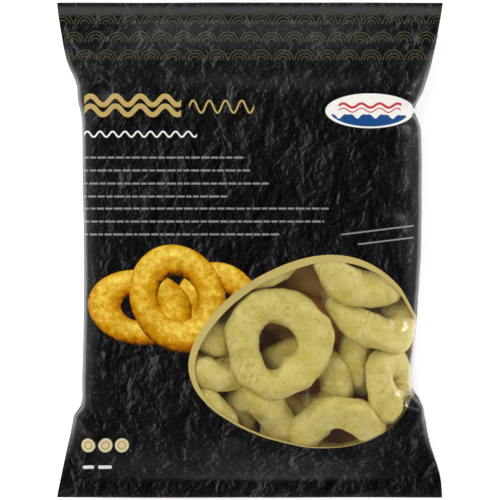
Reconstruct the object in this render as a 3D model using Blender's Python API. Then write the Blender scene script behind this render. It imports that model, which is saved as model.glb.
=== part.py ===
"""A filled pillow bag of frozen battered squid rings, lying on its back with its front up.

The bag is one closed body: a film tube sealed flat across both ends, full of rings that show as
soft relief under the film. X runs across the bag, Y along it towards its top seal, Z up. The
origin is on the floor, under the middle of the bag.
"""

import math
import random

import bmesh
import bpy

# Driving dimensions, in metres
BAG_LENGTH = 0.300
SEAL_DEPTH = 0.010
FILM_PAIR = 0.0008
CROWN_HEIGHT = 0.064
SEAL_HEIGHT = 0.021
FOLD_HEIGHT = 0.027
TOP_TAPER = 0.062
UNDER_TAPER = 0.048
UNDER_DROP = 0.010
FULL_POWER = 3.0
FULL_ROOT = 2.6
SEAL_DROOP = 0.0030
DROOP_POWER = 1.6
SEAL_SWAY = 0.0012
SEAL_WAVE = 0.190
SHORT_SWAY_SHARE = 0.5
SHORT_SWAY_RATE = 2.3
TOP_SEAL_PHASE = 1.1
BOTTOM_SEAL_PHASE = 2.6
RING_OUTER = 0.067
RING_TUBE = 0.020
RING_RELIEF = 0.0045
HIDDEN_RELIEF = 0.0012
LOW_SIDE = 0.009

# Where the film shows the rings under it most: an oval round the window that fades outwards
WINDOW_X = 0.045
WINDOW_Y = -0.062
WINDOW_STRETCH = 1.3
WINDOW_INNER = 0.085
WINDOW_OUTER = 0.105

# The loose grid that the other rings lie on
GRID_ROWS = 5
GRID_COLUMNS = 4
GRID_X = -0.075
GRID_Y = -0.100
GRID_STEP = 0.050
GRID_STAGGER = 0.012
GRID_JITTER = 0.006
GRID_CLEARANCE = 0.040
GRID_TILT = 35
GRID_SEED = 7

# The bag's outline on each side: distance along the bag, then half width there
LEFT_OUTLINE = (
    (-0.150, 0.1171), (-0.128, 0.1123), (-0.1065, 0.1074), (-0.0993, 0.1060), (-0.0925, 0.1016),
    (-0.080, 0.1012), (-0.040, 0.1002), (0.010, 0.1002), (0.042, 0.1008), (0.0785, 0.1014),
    (0.090, 0.1036), (0.100, 0.1046), (0.114, 0.1105), (0.136, 0.1150), (0.150, 0.1171),
)
RIGHT_OUTLINE = (
    (-0.150, 0.1165), (-0.1355, 0.1147), (-0.117, 0.1086), (-0.100, 0.1052), (-0.092, 0.1036),
    (-0.0825, 0.0984), (-0.060, 0.0994), (-0.030, 0.1014), (0.009, 0.1032), (0.071, 0.1032),
    (0.0775, 0.1016), (0.0850, 0.0990), (0.0927, 0.1030), (0.107, 0.1080), (0.125, 0.1123),
    (0.150, 0.1171),
)

# Rings that press against the film in the window: centre across, centre along, then how far in degrees
# each leans and the bearing of its low side
WINDOW_RINGS = (
    (0.0165, -0.0566, 3, 0),
    (0.0705, 0.0005, 14, 0),
    (0.0830, -0.0370, 34, 15),
    (0.0740, -0.0600, 45, 0),
    (0.0820, -0.0860, 45, -20),
    (0.0500, -0.1080, 38, -90),
    (-0.0340, -0.1050, 38, -95),
    (-0.0080, -0.0700, 12, 22),
)

# Mesh density
TOP_SEGMENTS = 52
UNDER_SEGMENTS = 26
STATIONS = 55
SEAL_MIDDLE = 0.45
EDGE_CROWDING = 0.45


def clear_scene():
    """Removes whatever the scene holds."""
    for obj in list(bpy.data.objects):
        bpy.data.objects.remove(obj, do_unlink=True)


def smoothstep(low, high, value):
    """0 below low, 1 above high, and a smooth rise between."""
    t = min(1.0, max(0.0, (value - low) / (high - low)))
    return t * t * (3 - 2 * t)


def along_outline(outline, y):
    """The half width at y, on a smooth curve through the outline's points."""
    last = len(outline) - 2
    k = 0
    while k < last and outline[k + 1][0] < y:
        k += 1
    (y0, w0), (y1, w1) = outline[k], outline[k + 1]
    before = outline[max(k - 1, 0)]
    after = outline[min(k + 2, len(outline) - 1)]
    span = y1 - y0
    slope0 = (w1 - before[1]) / (y1 - before[0]) * span
    slope1 = (after[1] - w0) / (after[0] - y0) * span
    t = (y - y0) / span
    return (
        (2 * t**3 - 3 * t**2 + 1) * w0
        + (t**3 - 2 * t**2 + t) * slope0
        + (3 * t**2 - 2 * t**3) * w1
        + (t**3 - t**2) * slope1
    )


def fullness(y, taper):
    """How far the bag has filled out at y: 0 at the inner edge of a seal, 1 in its middle."""
    inside = BAG_LENGTH / 2 - SEAL_DEPTH - abs(y)
    return math.sin(math.pi / 2 * min(1.0, max(0.0, inside / taper)))


def hidden_rings():
    """Rings under the printed film, on a loose grid away from the window, placed by a seeded draw."""
    draw = random.Random(GRID_SEED)
    rings = []
    for row in range(GRID_ROWS):
        for column in range(GRID_COLUMNS):
            shift_x = draw.uniform(-GRID_JITTER, GRID_JITTER)
            shift_y = draw.uniform(-GRID_JITTER, GRID_JITTER)
            x = GRID_X + GRID_STEP * column + GRID_STAGGER * (row % 2) + shift_x
            y = GRID_Y + GRID_STEP * row + shift_y
            if all(math.hypot(x - r[0], y - r[1]) > GRID_CLEARANCE for r in WINDOW_RINGS):
                rings.append((x, y, draw.uniform(0, GRID_TILT), draw.uniform(0, 360)))
    return rings


def ring_mask(ring, x, y):
    """1 over the crest of a ring's tube as seen from above, falling to 0 away from it and on its low side."""
    centre_x, centre_y, tilt, bearing = ring
    turn = math.radians(bearing)
    lean = math.radians(tilt)
    dx, dy = x - centre_x, y - centre_y
    downhill = dx * math.cos(turn) + dy * math.sin(turn)
    along = -dx * math.sin(turn) + dy * math.cos(turn)
    crest = (RING_OUTER - RING_TUBE) / 2
    off_crest = (math.hypot(downhill / math.cos(lean), along) - crest) / (RING_TUBE / 2)
    sunk = max(0.0, downhill * math.tan(lean)) / LOW_SIDE
    return math.exp(-off_crest * off_crest - sunk * sunk)


def relief(x, y, hidden):
    """How far the film sinks below the bag's full form between the rings under it."""
    shown = max(ring_mask(ring, x, y) for ring in WINDOW_RINGS)
    under = max(ring_mask(ring, x, y) for ring in hidden)
    off_window = math.hypot((x - WINDOW_X) / WINDOW_STRETCH, y - WINDOW_Y)
    near_window = 1 - smoothstep(WINDOW_INNER, WINDOW_OUTER, off_window)
    depth = HIDDEN_RELIEF + (RING_RELIEF - HIDDEN_RELIEF) * near_window
    return depth * (1 - max(shown, under))


def section_rise(across, full):
    """The film's rise at a place across the bag, from 0 at a side fold to 1 at the crown."""
    power = 2.0 + (FULL_POWER - 2.0) * full
    root = 1.0 + (FULL_ROOT - 1.0) * full
    return max(0.0, 1 - abs(across) ** power) ** (1 / root)


def fold_height(x, y):
    """The height of the side folds, and of the seals, which droop towards their ends and sway a little."""
    full = fullness(y, TOP_TAPER)
    into_seal = max(0.0, abs(y) - BAG_LENGTH / 2 + SEAL_DEPTH) / SEAL_DEPTH
    phase = 2 * math.pi * x / SEAL_WAVE + (TOP_SEAL_PHASE if y > 0 else BOTTOM_SEAL_PHASE)
    wave = math.sin(phase) + SHORT_SWAY_SHARE * math.sin(SHORT_SWAY_RATE * phase)
    droop = SEAL_DROOP * into_seal**DROOP_POWER
    return SEAL_HEIGHT + (FOLD_HEIGHT - SEAL_HEIGHT) * full - droop + SEAL_SWAY * wave * (1 - full) ** 2


def top_point(across, y, hidden):
    """A point of the upper film. across runs from -1 at the left fold to 1 at the right fold."""
    half = along_outline(RIGHT_OUTLINE if across > 0 else LEFT_OUTLINE, y)
    x = across * half
    full = fullness(y, TOP_TAPER)
    fold = fold_height(x, y)
    rise = section_rise(across, full) * full
    z = fold + (CROWN_HEIGHT - fold) * rise
    z -= relief(x, y, hidden) * rise
    return x, y, z


def under_point(across, y):
    """A point of the lower film, which lies flat on the floor under the bag's middle."""
    half = along_outline(RIGHT_OUTLINE if across > 0 else LEFT_OUTLINE, y)
    x = across * half
    full = fullness(y, UNDER_TAPER)
    fold = fold_height(x, y)
    drop = section_rise(across, full) * full
    return x, y, max(0.0, fold - (fold + UNDER_DROP) * drop)


def spread_across(count):
    """Places from the left fold to the right fold, closer together towards the folds."""
    places = []
    for k in range(count + 1):
        even = -1 + 2 * k / count
        crowded = -math.cos(math.pi * k / count)
        places.append((1 - EDGE_CROWDING) * even + EDGE_CROWDING * crowded)
    return places


def bag_stations():
    """Places along the bag at which its section is made, each seal's middle and inner edge among them."""
    end = BAG_LENGTH / 2
    inner = end - SEAL_DEPTH
    middle = inner + SEAL_MIDDLE * SEAL_DEPTH
    body = [-inner + 2 * inner * k / STATIONS for k in range(STATIONS + 1)]
    return [-end, -middle, *body, middle, end]


def add_section(mesh, y, hidden):
    """Adds the bag's section at y: its upper points from left to right, then its lower inner points."""
    upper = []
    for across in spread_across(TOP_SEGMENTS):
        x, y_here, z = top_point(across, y, hidden)
        lift = 0.0 if abs(across) > 0.9999 else FILM_PAIR / 2
        upper.append(mesh.verts.new((x, y_here, z + lift)))
    lower = [upper[0]]
    for across in spread_across(UNDER_SEGMENTS)[1:-1]:
        x, y_here, z = under_point(across, y)
        lower.append(mesh.verts.new((x, y_here, max(0.0, z - FILM_PAIR / 2))))
    lower.append(upper[-1])
    return upper, lower


def bridge(mesh, first, second):
    """Joins two rows of the same number of points with a strip of faces."""
    for a, b, c, d in zip(first, first[1:], second[1:], second):
        mesh.faces.new((a, b, c, d))


def close_end(mesh, upper, lower):
    """Closes a seal's end between its upper row and its lower row, which has half as many segments."""
    for k in range(len(lower) - 1):
        low_a, low_b = lower[k], lower[k + 1]
        top_a, top_m, top_b = upper[2 * k : 2 * k + 3]
        if low_a is not top_a:
            mesh.faces.new((low_a, top_a, top_m))
        mesh.faces.new((low_a, top_m, low_b))
        if low_b is not top_b:
            mesh.faces.new((low_b, top_m, top_b))


def film_material():
    """Matt black printed film with a soft sheen."""
    material = bpy.data.materials.new("printed_film")
    material.use_nodes = True
    shader = material.node_tree.nodes["Principled BSDF"]
    shader.inputs["Base Color"].default_value = (0.012, 0.012, 0.012, 1)
    shader.inputs["Roughness"].default_value = 0.42
    shader.inputs["Metallic"].default_value = 0.0
    return material


def build_bag():
    """Lofts the bag through its sections and closes both ends."""
    mesh = bmesh.new()
    hidden = hidden_rings()
    sections = [add_section(mesh, y, hidden) for y in bag_stations()]
    for (upper_a, lower_a), (upper_b, lower_b) in zip(sections, sections[1:]):
        bridge(mesh, upper_a, upper_b)
        bridge(mesh, lower_a, lower_b)
    close_end(mesh, *sections[0])
    close_end(mesh, *sections[-1])
    bmesh.ops.triangulate(mesh, faces=mesh.faces[:])
    bmesh.ops.recalc_face_normals(mesh, faces=mesh.faces[:])
    data = bpy.data.meshes.new("bag")
    mesh.to_mesh(data)
    mesh.free()
    data.shade_smooth()
    data.set_sharp_from_angle(angle=math.radians(50))
    data.materials.append(film_material())
    bag = bpy.data.objects.new("bag", data)
    bpy.context.scene.collection.objects.link(bag)
    return bag


clear_scene()
build_bag()
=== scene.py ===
"""A filled pillow bag of frozen battered squid rings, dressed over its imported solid.

The bag lies on its back with its front up. X runs across it, Y along it towards its top seal and Z up,
in metres. Its solid is replaced by three kinds of real thing: the printed film, the clear film of the
window that wraps one side, and the battered rings that lie under that window.
"""

import logging
import math
from dataclasses import dataclass, field
from enum import Enum

import bmesh
import bpy
import numpy as np
from mathutils import Matrix, Vector, noise
from mathutils.bvhtree import BVHTree


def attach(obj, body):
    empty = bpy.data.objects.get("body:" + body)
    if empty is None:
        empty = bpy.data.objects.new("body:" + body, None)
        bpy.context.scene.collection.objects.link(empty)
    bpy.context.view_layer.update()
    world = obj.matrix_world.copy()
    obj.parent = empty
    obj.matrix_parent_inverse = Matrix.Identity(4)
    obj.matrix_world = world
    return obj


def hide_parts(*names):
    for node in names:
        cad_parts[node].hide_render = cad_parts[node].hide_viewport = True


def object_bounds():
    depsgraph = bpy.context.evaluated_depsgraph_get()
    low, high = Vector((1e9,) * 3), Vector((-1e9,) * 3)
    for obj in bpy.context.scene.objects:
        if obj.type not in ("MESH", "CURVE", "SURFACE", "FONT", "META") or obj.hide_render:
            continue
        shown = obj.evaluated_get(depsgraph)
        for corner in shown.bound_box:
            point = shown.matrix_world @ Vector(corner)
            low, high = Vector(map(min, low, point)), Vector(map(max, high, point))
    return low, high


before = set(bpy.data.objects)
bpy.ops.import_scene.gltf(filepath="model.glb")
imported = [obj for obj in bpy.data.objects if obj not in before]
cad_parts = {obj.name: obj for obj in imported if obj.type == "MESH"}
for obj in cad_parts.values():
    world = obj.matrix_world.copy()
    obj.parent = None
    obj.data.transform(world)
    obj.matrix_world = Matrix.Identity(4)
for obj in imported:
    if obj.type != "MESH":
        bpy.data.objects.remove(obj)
CAD_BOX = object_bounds()

log = logging.getLogger("squid_ring_bag")

MM = 0.001
CAMERA_HEIGHT = 2.000
VIEW_WIDTH = 0.3018
VIEW_PLANE = 0.024


def srgb(code: str) -> tuple[float, float, float, float]:
    """Turns an sRGB hex colour into Blender's linear values.

    Args:
        code: A # and six hex digits.

    Returns:
        Linear red, green and blue, then full alpha.
    """
    parts = [int(code[k : k + 2], 16) / 255 for k in (1, 3, 5)]
    red, green, blue = (c / 12.92 if c <= 0.04045 else ((c + 0.055) / 1.055) ** 2.4 for c in parts)
    return red, green, blue, 1.0


def smoothstep(low: float, high: float, value: np.ndarray) -> np.ndarray:
    """Rises smoothly from 0 at low to 1 at high, for low above high too."""
    t = np.clip((value - low) / (high - low), 0.0, 1.0)
    return t * t * (3 - 2 * t)


def set_stops(ramp: bpy.types.ColorRamp, stops: tuple[tuple[float, str], ...]) -> None:
    """Gives a colour ramp its stops.

    Args:
        ramp: A new ramp, with two stops of its own.
        stops: Places from 0 to 1 and their sRGB colours, from the lowest up.
    """
    for own, (at, _) in ((1, stops[-1]), (0, stops[0])):
        ramp.elements[own].position = at
    for at, _ in stops[1:-1]:
        ramp.elements.new(at)
    for stop, (_, code) in zip(ramp.elements, stops):
        stop.color = srgb(code)


def add_node(
    tree: bpy.types.NodeTree, kind: str, settings: dict[str, object] | None = None, **sockets: object
) -> bpy.types.Node:
    """Adds one node, sets its properties, and fills or links its input sockets.

    Args:
        tree: The node tree that gets the node.
        kind: The node's bl_idname.
        settings: Its properties by name.
        sockets: Values, numbers of the material or output sockets, by input name with _ for a space, or
            in_N for input number N.

    Returns:
        The new node.
    """
    node = tree.nodes.new(kind)
    for name, value in (settings or {}).items():
        setattr(node, name, value)
    for name, value in sockets.items():
        socket = node.inputs[int(name[3:])] if name.startswith("in_") else node.inputs[name.replace("_", " ")]
        source = value.socket if isinstance(value, Number) else value
        if isinstance(source, bpy.types.NodeSocket):
            tree.links.new(source, socket)
        else:
            socket.default_value = source
    return node


class Number:
    """A number in a material. Python's arithmetic on it adds the nodes that work it out."""

    def __init__(self, socket: bpy.types.NodeSocket) -> None:
        """Keeps the output socket that the number comes from."""
        self.socket = socket

    def do(self, step: str, other: object = 0.0) -> "Number":
        """One step of arithmetic with another number, by Blender's name for the step."""
        tree = self.socket.id_data
        return Number(add_node(tree, "ShaderNodeMath", {"operation": step}, in_0=self, in_1=other).outputs[0])

    def __add__(self, other: object) -> "Number":
        """The sum."""
        return self.do("ADD", other)

    def __sub__(self, other: object) -> "Number":
        """The difference."""
        return self.do("SUBTRACT", other)

    def __mul__(self, other: object) -> "Number":
        """The product, which for two masks is what they share."""
        return self.do("MULTIPLY", other)

    def __truediv__(self, other: object) -> "Number":
        """The quotient."""
        return self.do("DIVIDE", other)

    def __abs__(self) -> "Number":
        """The number without its sign."""
        return self.do("ABSOLUTE")

    def mask(self, soft: float = 0.25 * MM) -> "Number":
        """Turns a signed distance from an outline, negative inside, into a mask.

        Args:
            soft: How wide the mask's edge is, in metres.

        Returns:
            The mask, 1 inside and 0 outside.
        """
        mapped = add_node(
            self.socket.id_data, "ShaderNodeMapRange",
            Value=self, From_Min=-soft / 2, From_Max=soft / 2, To_Min=1.0, To_Max=0.0,
        )
        return Number(mapped.outputs[0])


class Sheet:
    """The print while it is laid down: its two coordinates on the film in metres, and the colour so far."""

    def __init__(self, tree: bpy.types.NodeTree, ground: bpy.types.NodeSocket) -> None:
        """Finds the film's print coordinates.

        Args:
            tree: The film's material.
            ground: The colour that everything is printed on.
        """
        film = add_node(tree, "ShaderNodeUVMap", {"uv_map": "print"})
        parts = add_node(tree, "ShaderNodeSeparateXYZ", Vector=film.outputs[0])
        self.tree = tree
        self.across = Number(parts.outputs["X"])
        self.along = Number(parts.outputs["Y"])
        self.colour = ground

    def paint(self, mask: Number, ink: "Ink | bpy.types.NodeSocket") -> None:
        """Lays one ink over what is printed so far.

        Args:
            mask: 1 where the ink goes.
            ink: An ink of the print, or a colour of the material.
        """
        tint = srgb(ink.value) if isinstance(ink, Ink) else ink
        mix = add_node(
            self.tree, "ShaderNodeMix", {"data_type": "RGBA"}, in_0=mask, in_6=self.colour, in_7=tint
        )
        self.colour = mix.outputs[2]

    def placed(self, x: float, y: float, turn: float = 0.0) -> tuple[Number, Number]:
        """The coordinates measured from a place on the film, turned by an angle.

        Args:
            x: The place across the film, in metres.
            y: The place along the film, in metres.
            turn: The angle of the local axes in degrees, anticlockwise.

        Returns:
            Distance across and distance along from that place.
        """
        dx, dy = self.across - x, self.along - y
        if turn == 0.0:
            return dx, dy
        c, s = math.cos(math.radians(turn)), math.sin(math.radians(turn))
        return dx * c + dy * s, dy * c - dx * s

    @staticmethod
    def length(u: Number, v: Number) -> Number:
        """The length of a vector with these two parts."""
        return (u * u + v * v).do("SQRT")

    def bar(self, x: float, y: float, half_long: float, half_high: float, turn: float) -> Number:
        """The mask of a bar with round ends.

        Args:
            x: Its middle across the film, in metres.
            y: Its middle along the film, in metres.
            half_long: Half its length, in metres.
            half_high: Half its height, in metres.
            turn: Its slant in degrees.

        Returns:
            The mask.
        """
        u, v = self.placed(x, y, turn)
        beyond = (abs(u) - (half_long - half_high)).do("MAXIMUM", 0.0)
        return (self.length(beyond, v) - half_high).mask()

    def oval(self, x: float, y: float, half_long: float, half_high: float, turn: float = 0.0) -> Number:
        """How far out a point is in an oval: 0 at its middle and 1 on its outline.

        Args:
            x: Its middle across the film, in metres.
            y: Its middle along the film, in metres.
            half_long: Half its length, in metres.
            half_high: Half its height, in metres.
            turn: Its slant in degrees.

        Returns:
            The distance as a share of the oval's radius.
        """
        u, v = self.placed(x, y, turn)
        return self.length(u / half_long, v / half_high)

    def wave(self, x0: float, x1: float, y: float, swing: float, period: float, thick: float) -> Number:
        """The mask of a wavy line.

        Args:
            x0: Where it starts across the film, in metres.
            x1: Where it ends.
            y: Its middle height along the film.
            swing: How far it swings to each side.
            period: The length of one wave.
            thick: The line's thickness.

        Returns:
            The mask.
        """
        rate = 2 * math.pi / period
        phase = (self.across - x0) * rate
        off = abs(self.along - (phase.do("SINE") * swing + y))
        steep = phase.do("COSINE") * (rate * swing)
        slant = (steep * steep + 1.0).do("SQRT")
        return (off / slant - thick / 2).mask() * self.span(x0, x1)

    def span(self, x0: float, x1: float) -> Number:
        """The mask of everything between two places across the film."""
        return (abs(self.across - (x0 + x1) / 2) - (x1 - x0) / 2).mask()


@dataclass(frozen=True)
class WindowOutline:
    """The egg-shaped outline of the bag's window, in the print's coordinates in metres."""

    x: float
    y: float
    half_long: float
    half_high: float
    swell: float = 0.225
    turn: float = 8.1

    def shares(self, u: "np.ndarray | Number", v: "np.ndarray | Number") -> tuple[object, object]:
        """Measures points, or a material's coordinates, against the outline.

        Args:
            u: Where the points lie across the film, in metres.
            v: Where they lie along it.

        Returns:
            How far out they are in the egg's two directions, as shares that make a circle of radius 1.
        """
        c, s = math.cos(math.radians(self.turn)), math.sin(math.radians(self.turn))
        long_way = ((u - self.x) * c + (v - self.y) * s) / self.half_long
        high_way = ((v - self.y) * c - (u - self.x) * s) / self.half_high
        return long_way, high_way / (long_way * self.swell + 1)

    def level(self, u: np.ndarray, v: np.ndarray) -> np.ndarray:
        """How far out points are: below 0 inside the outline and above 0 outside it."""
        return np.hypot(*self.shares(u, v)) - 1


BORDER = WindowOutline(33.3 * MM, -63.6 * MM, 71.1 * MM, 57.1 * MM)
OPENING = WindowOutline(35.0 * MM, -65.4 * MM, 68.8 * MM, 54.8 * MM)


@dataclass(frozen=True)
class Crease:
    """One soft fold in the film: a straight stroke that lifts or sinks it."""

    x0: float
    y0: float
    x1: float
    y1: float
    lift: float
    width: float


@dataclass
class FilmSkin:
    """The bag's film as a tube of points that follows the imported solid's own sections.

    It starts at the middle of the back, runs round the left fold, over the front, round the right fold
    and back. Row by row it goes from the bottom seal to the top seal.
    """

    rows: int = 236
    top_steps: int = 132
    under_steps: int = 66
    seal_depth: float = 10 * MM
    seal_curl: float = 2.4 * MM
    pucker_lift: float = 0.9 * MM
    pucker_reach: float = 30 * MM
    pucker_size: tuple[float, float] = (11 * MM, 75 * MM)
    crumple: float = 0.22 * MM
    crumple_size: tuple[float, float] = (21 * MM, 27 * MM)
    back_seal: float = 12 * MM
    back_seal_lift: float = 0.3 * MM
    ring_gap: float = 0.35 * MM
    probe: float = 6 * MM
    cover_passes: int = 60
    sag: float = 2.2 * MM
    creases: tuple[Crease, ...] = (
        Crease(-0.096, 0.117, -0.092, 0.106, 0.0012, 0.0030),
        Crease(-0.092, 0.106, -0.079, 0.096, 0.0015, 0.0032),
        Crease(0.101, 0.084, 0.082, 0.079, -0.0016, 0.0040),
        Crease(0.100, 0.089, 0.086, 0.098, 0.0011, 0.0035),
        Crease(-0.101, -0.096, -0.080, -0.104, -0.0014, 0.0045),
        Crease(-0.100, -0.101, -0.088, -0.118, 0.0012, 0.0035),
        Crease(0.102, -0.086, 0.086, -0.096, -0.0013, 0.0040),
        Crease(0.103, -0.094, 0.092, -0.112, 0.0012, 0.0035),
        Crease(-0.076, 0.040, -0.074, 0.072, 0.0005, 0.0040),
        Crease(0.083, 0.1385, 0.101, 0.1440, 0.0010, 0.0018),
        Crease(0.062, -0.1470, 0.079, -0.1440, 0.0008, 0.0018),
        Crease(0.088, -0.1180, 0.101, -0.1280, 0.0010, 0.0024),
        Crease(-0.112, -0.1450, -0.104, -0.1400, 0.0009, 0.0016),
    )
    points: np.ndarray = field(default_factory=lambda: np.zeros((0, 0, 3)))
    uv: np.ndarray = field(default_factory=lambda: np.zeros((0, 0, 2)))

    def read_sections(self) -> tuple[np.ndarray, np.ndarray]:
        """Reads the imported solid's sections.

        Returns:
            The upper and the lower rows of points, from the bottom seal up and from left to right.
        """
        solid = bmesh.new()
        solid.from_mesh(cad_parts["bag"].data)
        bmesh.ops.remove_doubles(solid, verts=solid.verts[:], dist=2e-6)
        solid.normal_update()
        places = np.array([[*v.co, v.normal.z] for v in solid.verts])
        solid.free()
        places = places[np.argsort(places[:, 1], kind="stable")]
        breaks = np.nonzero(np.diff(places[:, 1]) > 1e-5)[0] + 1
        sections = [s[np.argsort(s[:, 0], kind="stable")] for s in np.split(places, breaks)]
        fullest = max(sections, key=len)
        sheets = []
        for facing in (1, -1):
            spread = self.across(self.sheet_of(fullest, facing))
            rows = []
            for section in sections:
                sheet = self.sheet_of(section, facing)
                z = np.interp(spread, self.across(sheet), sheet[:, 2])
                x = np.where(spread > 0, spread * sheet[-1, 0], -spread * sheet[0, 0])
                rows.append(np.stack([x, np.full(len(x), section[0, 1]), z], axis=-1))
            sheets.append(np.array(rows))
        return sheets[0], sheets[1]

    @staticmethod
    def sheet_of(section: np.ndarray, facing: int) -> np.ndarray:
        """The points of a section that face up or down, with both folds, from left to right."""
        inner = section[1:-1]
        return np.vstack([section[:1], inner[inner[:, 3] * facing > 0], section[-1:]])

    @staticmethod
    def across(sheet: np.ndarray) -> np.ndarray:
        """Where a section's points lie across the bag, from -1 at the left fold to 1 at the right fold."""
        x = sheet[:, 0]
        return np.where(x > 0, x / x[-1], -x / x[0])

    @staticmethod
    def resample(points: np.ndarray, count: int) -> np.ndarray:
        """Draws a smooth curve through the first axis of points and reads it at evenly spaced places.

        Args:
            points: Points whose first axis runs along the curve.
            count: How many places to read.

        Returns:
            The places, in the same layout as the points.
        """
        last = len(points) - 1
        at = np.linspace(0, last, count)
        k = np.minimum(at.astype(int), last - 1)
        t = (at - k).reshape(-1, *([1] * (points.ndim - 1)))
        p0, p1 = points[np.maximum(k - 1, 0)], points[k]
        p2, p3 = points[k + 1], points[np.minimum(k + 2, last)]
        square, cube = 2 * p0 - 5 * p1 + 4 * p2 - p3, 3 * p1 - p0 - 3 * p2 + p3
        return 0.5 * (2 * p1 + (p2 - p0) * t + square * t**2 + cube * t**3)

    def lay_out(self) -> None:
        """Makes the tube of points from the solid's sections, and its print coordinates."""
        sheets = []
        for sheet, steps in zip(self.read_sections(), (self.top_steps, self.under_steps)):
            smooth = self.resample(sheet, self.rows + 1)
            sheets.append(self.resample(smooth.swapaxes(0, 1), steps + 1).swapaxes(0, 1))
        top, under = sheets
        half = self.under_steps // 2
        left_part = under[:, half::-1]
        right_part = under[:, :half - 1:-1]
        self.points = np.concatenate([left_part, top[:, 1:-1], right_part], axis=1)
        self.uv = self.print_coordinates(half)

    def print_coordinates(self, half: int) -> np.ndarray:
        """Where each point of the film is in the print, as its front is seen from the camera.

        Past each fold the coordinate across the film goes on by the distance round the section.

        Args:
            half: How many steps lie between the middle of the back and a fold.

        Returns:
            Coordinates across and along, in metres.
        """
        p = self.points
        scale = (CAMERA_HEIGHT - VIEW_PLANE) / (CAMERA_HEIGHT - p[..., 2])
        u = p[..., 0] * scale
        v = p[..., 1] * scale
        fold = half + self.top_steps
        for way, columns in ((-1, range(half - 1, -1, -1)), (1, range(fold + 1, p.shape[1]))):
            for k in columns:
                u[:, k] = u[:, k - way] + way * np.linalg.norm(p[:, k] - p[:, k - way], axis=-1)
                v[:, k] = v[:, k - way]
        return np.stack([u, v], axis=-1)

    def normals(self) -> np.ndarray:
        """Finds which way is out of the bag.

        Returns:
            The outward direction at each point of the tube.
        """
        p = self.points
        along = np.gradient(p, axis=0)
        wrapped = np.concatenate([p[:, -2:-1], p, p[:, 1:2]], axis=1)
        across = wrapped[:, 2:] - wrapped[:, :-2]
        out = np.cross(across, along)
        return out / np.maximum(np.linalg.norm(out, axis=-1, keepdims=True), 1e-12)

    def thickness(self) -> np.ndarray:
        """Measures the bag from layer to layer.

        Returns:
            How far apart the two layers are at each point, straight up.
        """
        p = self.points
        half = self.under_steps // 2
        fold = half + self.top_steps
        apart = np.zeros(p.shape[:2])
        back = [*range(half, -1, -1), *range(p.shape[1] - 2, fold - 1, -1)]
        front = list(range(half, fold + 1))
        for row, line in enumerate(p):
            apart[row, front] = line[front, 2] - np.interp(line[front, 0], line[back, 0], line[back, 2])
            apart[row, back] = np.interp(line[back, 0], line[front, 0], line[front, 2]) - line[back, 2]
        return np.maximum(apart, 0.0)

    def fold_film(self) -> None:
        """Adds the film's creases, the puckers that run in from both seals and a fine crumple.

        The bag rests on the seal along its back, which holds the film beside it just off the floor.
        """
        p, out = self.points, self.normals()
        x, y = p[..., 0], p[..., 1]
        lift = np.zeros_like(x)
        for crease in self.creases:
            dx, dy = crease.x1 - crease.x0, crease.y1 - crease.y0
            reach = math.hypot(dx, dy)
            along = ((x - crease.x0) * dx + (y - crease.y0) * dy) / reach
            off = ((x - crease.x0) * dy - (y - crease.y0) * dx) / reach
            begun = smoothstep(-0.3 * reach, 0.25 * reach, along)
            ended = smoothstep(1.35 * reach, 0.75 * reach, along)
            profile = np.exp(-((off / crease.width) ** 2))
            lift += crease.lift * profile * begun * ended * (out[..., 2] > 0)
        from_seal = CAD_BOX[1][1] - self.seal_depth - np.abs(y)
        near_seal = np.exp(-np.maximum(from_seal, 0) / self.pucker_reach)
        near_seal *= smoothstep(-4 * MM, 6 * MM, from_seal)
        body = smoothstep(-6 * MM, 14 * MM, from_seal)
        pucker, fine = np.zeros_like(x), np.zeros_like(x)
        for index in np.ndindex(x.shape):
            u, v = self.uv[index]
            for swell, size, layer, shape in (
                (pucker, self.pucker_size, 3.1, (0.9, 2.0, 2)),
                (fine, self.crumple_size, 8.7, (0.8, 2.1, 4)),
            ):
                swell[index] = noise.fractal(Vector((u / size[0], v / size[1], layer)), *shape)
        above = smoothstep(0.0, 0.35, p[..., 2] / (12 * MM))
        beside_seal = smoothstep(self.back_seal / 2, self.back_seal / 2 + 2 * MM, np.abs(x))
        lift -= self.back_seal_lift * beside_seal * (out[..., 2] < -0.5)
        lift += self.pucker_lift * near_seal * pucker * above
        lift += self.crumple * body * fine * above
        lift = np.maximum(lift, -0.4 * self.thickness())
        self.points = p + out * lift[..., None]
        self.points[..., 2] -= self.seal_curl * np.clip(-from_seal / self.seal_depth, 0, 1) ** 2

    def cover(self, rings: BVHTree) -> None:
        """Lays the window's film over the rings: it rests on their crests and sags a little between them.

        Args:
            rings: The rings' surfaces.
        """
        p, out = self.points, self.normals()
        level = BORDER.level(self.uv[..., 0], self.uv[..., 1])
        region = smoothstep(0.10, -0.02, level) * (out[..., 2] > -0.6)
        probe = self.probe
        contact = np.full(region.shape, -1.0)
        for index in zip(*np.nonzero(region)):
            start = Vector(p[index] + out[index] * probe)
            hit = rings.ray_cast(start, Vector(-out[index]), probe + self.sag)
            if hit[0] is not None:
                contact[index] = probe - hit[3] + self.ring_gap
        offset = -self.sag * region
        for _ in range(self.cover_passes):
            padded = np.pad(offset, 1, mode="edge")
            beside = (padded[:-2, 1:-1] + padded[2:, 1:-1] + padded[1:-1, :-2] + padded[1:-1, 2:]) / 4
            offset = np.where(region > 0, np.maximum(beside, contact), 0.0)
        self.points = p + out * offset[..., None]
        log.info("film over rings: sinks %.1f mm, rises %.1f mm", offset.min() / MM, offset.max() / MM)

    def surface(self) -> BVHTree:
        """Makes a surface of the film, for measuring where it lies.

        Returns:
            The surface.
        """
        rows, columns = self.points.shape[:2]
        index = np.arange(rows * columns).reshape(rows, columns)
        quads = np.stack([index[:-1, :-1], index[:-1, 1:], index[1:, 1:], index[1:, :-1]], axis=-1)
        return BVHTree.FromPolygons(self.points.reshape(-1, 3).tolist(), quads.reshape(-1, 4).tolist())

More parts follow.
